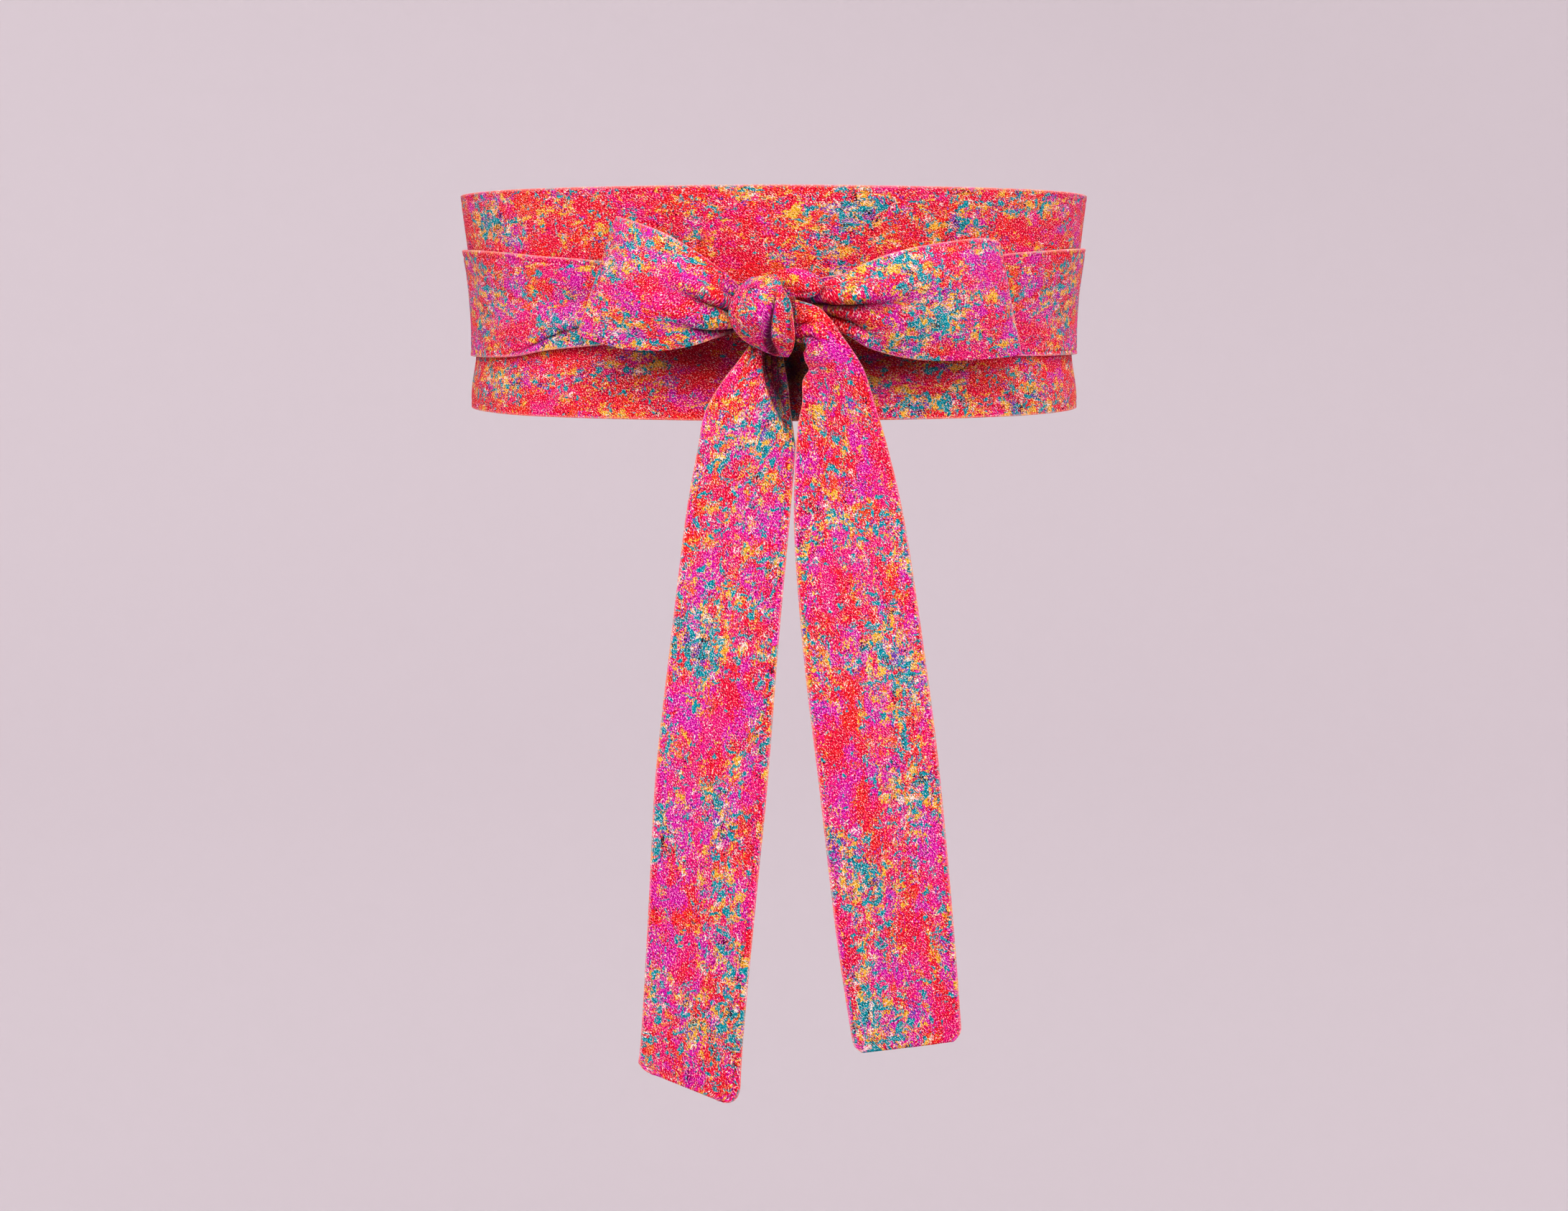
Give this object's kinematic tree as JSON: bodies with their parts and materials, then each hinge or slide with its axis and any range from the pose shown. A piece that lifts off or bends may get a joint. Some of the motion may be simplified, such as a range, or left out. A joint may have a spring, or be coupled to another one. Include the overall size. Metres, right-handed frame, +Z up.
{
  "type": "obi belt",
  "caption": "Wide cloth waist belt with long ties that cross at the back, wrap round over it and tie in a front bow, worn shape.",
  "frame": {"origin": "middle of the waist that the belt goes round, half way up the panel", "axes": "+Z up along the wearer, +X to the viewer's right as the bow is seen, front and bow towards -Y"},
  "size_m": [0.2678, 0.2269, 0.3692],
  "materials": {
    "panel_cotton": "matt printed cotton twill, mottled pink, coral, gold and teal",
    "tie_cotton": "matt printed cotton twill, the same print along the tie"
  },
  "bodies": {
    "root": {"panel": "panel_cotton", "tie_left_wrap": "tie_cotton", "tie_right_wrap": "tie_cotton", "loop_left": "tie_cotton", "loop_right": "tie_cotton", "tail_left": "tie_cotton", "tail_right": "tie_cotton", "knot_wrap": "tie_cotton", "knot_top": "tie_cotton", "knot_core": "tie_cotton"}
  },
  "joints": []
}
